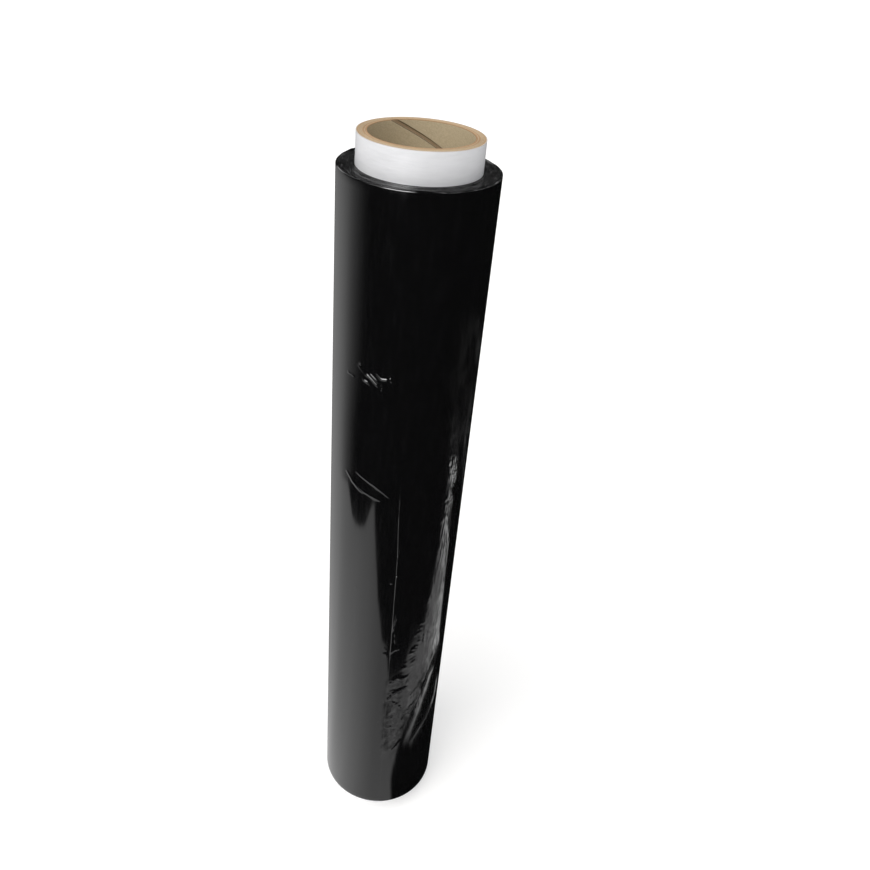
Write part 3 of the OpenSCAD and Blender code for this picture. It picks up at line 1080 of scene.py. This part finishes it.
def bright_strip(signed, far, noise):
    """The long bright zone, broken up by noise."""
    first = np.interp(far, *STRIP_FIRST) + 7 * noise.layers(np.log(far) * 26, 0.5)
    last = np.interp(far, *STRIP_LAST)
    strip = rise_fall(signed, first - 4, first + 4, last - 2, last + 4)
    gaps = 1 - soft_step(noise.at(np.log(far) * 45, signed / 30, 4.5), 0.1, 0.45)
    strip *= np.where(far > 0.39, gaps, 1.0)
    strip *= window(far, 0.135, 0.485, 0.012) * np.interp(far, *STRIP_LEVEL)
    strip *= np.clip(0.85 + 0.75 * noise.layers(signed / 9, np.log(far) * 9, 2.5), 0.1, 1.5)
    return strip * np.interp(signed, *STRIP_SHARE)


def floor_glow(turned, far):
    """Brightness that the glossy film mirrors in place of the floor, by direction and reach: painted
    reflections.
    """
    signed = (turned + 180) % 360 - 180
    noise = GradientNoise(3)
    glow = pale_zones(turned, far, noise)
    brushed = window(signed, -86, -20, 5) * window(far, 0.09, 0.165, 0.008)
    grain = noise.layers(signed / 7 - np.log(far) * 24, np.log(far) * 26, 7.5)
    glow *= np.clip(1 + 1.4 * brushed * grain, 0.1, 2.2)
    glow = np.maximum(glow, bright_strip(signed, far, noise))
    for ranges, turns, wide, levels in BRIGHT_LINES:
        near, end = ranges[0], ranges[-1]
        off = np.abs(signed - np.interp(far, ranges, turns))
        band = rise_fall(far, near - 0.006, near + 0.008, end - 0.003, end + 0.003)
        band *= 1 - soft_step(off, wide * 0.5, wide)
        glow = np.maximum(glow, band * np.interp(far, (near, end), levels))
    cloud = window(signed, -12, 55, 14) * window(far, 0.46, 0.86, 0.06)
    cloud *= np.clip(0.2 + 1.3 * noise.layers(signed / 15, np.log(far) * 22, 0.5), 0, 1)
    return np.maximum(glow, 0.05 * cloud) + DARK_FLOOR


def dome_glow(turned, rise):
    """Brightness of the studio's wall and ceiling as the glossy film mirrors it, by direction and rise."""
    glow = np.zeros(turned.shape)
    for level, turns, rises in DOME_LAMPS:
        glow = np.maximum(glow, level * window(turned, *turns) * window(rise, *rises))
    return glow + DARK_DOME


def mirror_card(name, points, glow):
    """A card of closed rings that only mirrors see, with its brightness given at each point."""
    mesh = marked_mesh(name, points, ring_faces(*glow.shape), "glow", glow.ravel())
    material = bpy.data.materials.new(name)
    material.use_nodes = True
    s = Wiring(material.node_tree)
    s.tree.nodes.clear()
    mark = s.out(s.node("ShaderNodeAttribute", attribute_name="glow"), "Fac")
    lamp = s.fill(s.node("ShaderNodeEmission"), Strength=mark)
    s.put(s.node("ShaderNodeOutputMaterial").inputs[0], s.out(lamp))
    mesh.materials.append(material)
    card = new_object(name, mesh)
    for ray in ("camera", "diffuse", "transmission", "volume_scatter", "shadow"):
        setattr(card, "visible_" + ray, False)


def stage_mirrors():
    """What the glossy film mirrors: painted reflections of soft pale and dark zones on the floor, walls and
    ceiling, on cards that only mirrors see.
    """
    sides = np.arange(MIRROR_COLUMNS) * 360 / MIRROR_COLUMNS
    steps = (0.001, 0.001, 1), (0.03, 0.084, 10), (0.087, 0.54, 230), (0.56, DOME_RADIUS, 40)
    turned, far = np.meshgrid(sides, np.concatenate([np.geomspace(*step) for step in steps]))
    mirror_card("mirror_floor", ring(turned.ravel(), far.ravel(), 0.4 * MM), floor_glow(turned, far))
    turned, rise = np.meshgrid(sides[::4], np.linspace(0, 89.9, 90))
    steep = np.radians(rise.ravel())
    dome = ring(turned.ravel(), DOME_RADIUS * np.cos(steep), DOME_RADIUS * np.sin(steep))
    mirror_card("mirror_dome", dome, dome_glow(turned, rise))


def stage_world(light):
    """White all round for the camera, and a plain level of light from all sides."""
    world = bpy.data.worlds.new("Studio")
    world.use_nodes = True
    bpy.context.scene.world = world
    s = Wiring(world.node_tree)
    strength = s.mix(shown_rays(s), light.fill, 1.0)
    s.fill(s.tree.nodes["Background"], Strength=strength, Color=(1.0, 1.0, 1.0, 1.0))


def rotation(degrees, axis):
    """A rotation about an axis."""
    return Matrix.Rotation(math.radians(degrees), 4, axis)


def stage_key(light):
    """One large soft light from the left and the front."""
    lamp = bpy.data.lights.new("key", "SUN")
    lamp.energy = light.key
    lamp.angle = math.radians(45)
    lamp.color = (1.0, 0.985, 0.96)
    key = new_object("key", lamp)
    key.matrix_world = rotation(-38, "Z") @ rotation(38, "X")
    key.visible_glossy = False


def stage_camera():
    """The camera at the roll's front, above its top and looking down."""
    lens = bpy.data.cameras.new("camera")
    lens.lens = 33.665
    lens.sensor_width = 36.0
    camera = new_object("camera", lens)
    turn = rotation(-2.919, "Z") @ rotation(90 - 33.843, "X") @ rotation(5.674, "Z")
    camera.matrix_world = Matrix.Translation((0.0, -0.389621, 0.581569)) @ turn
    bpy.context.scene.camera = camera


class ROLL_OT_stage(bpy.types.Operator):
    """Set up the floor, the light and the camera"""

    bl_idname = "roll.stage"
    bl_label = "Studio Stage"

    def execute(self, context):
        light = context.scene.roll_light
        stage_camera()
        stage_floor(light)
        stage_mirrors()
        stage_world(light)
        stage_key(light)
        context.scene.view_settings.view_transform = "Standard"
        return {"FINISHED"}


OPERATORS = (ROLL_OT_core_board, ROLL_OT_core_paper, ROLL_OT_film_turns, ROLL_OT_outer_turn, ROLL_OT_stage)


class VIEW3D_PT_wrap_roll(bpy.types.Panel):
    """The roll's pieces and sizes"""

    bl_label = "Stretch Wrap Roll"
    bl_idname = "VIEW3D_PT_wrap_roll"
    bl_space_type = "VIEW_3D"
    bl_region_type = "UI"
    bl_category = "Wrap Roll"

    def draw(self, context):
        layout = self.layout
        for operator in OPERATORS:
            layout.operator(operator.bl_idname)
        for group in GROUPS:
            box = layout.box()
            settings = getattr(context.scene, group)
            for name in settings.__annotations__:
                box.prop(settings, name)


GROUPS = {
    "roll_core": CoreSizes, "roll_film": FilmSizes, "roll_slack": SlackSizes,
    "roll_colours": RollColours, "roll_light": StudioLight,
}
CLASSES = (*GROUPS.values(), *OPERATORS, VIEW3D_PT_wrap_roll)


def register():
    for cls in CLASSES:
        bpy.utils.register_class(cls)
    for name, group in GROUPS.items():
        setattr(bpy.types.Scene, name, bpy.props.PointerProperty(type=group))


def unregister():
    for name in GROUPS:
        delattr(bpy.types.Scene, name)
    for cls in reversed(CLASSES):
        bpy.utils.unregister_class(cls)


def main():
    """Build the roll and its stage."""
    register()
    bpy.ops.roll.stage()
    bpy.ops.roll.core_board()
    bpy.ops.roll.core_paper()
    bpy.ops.roll.film_turns()
    bpy.ops.roll.outer_turn()


if __name__ == "__main__":
    main()
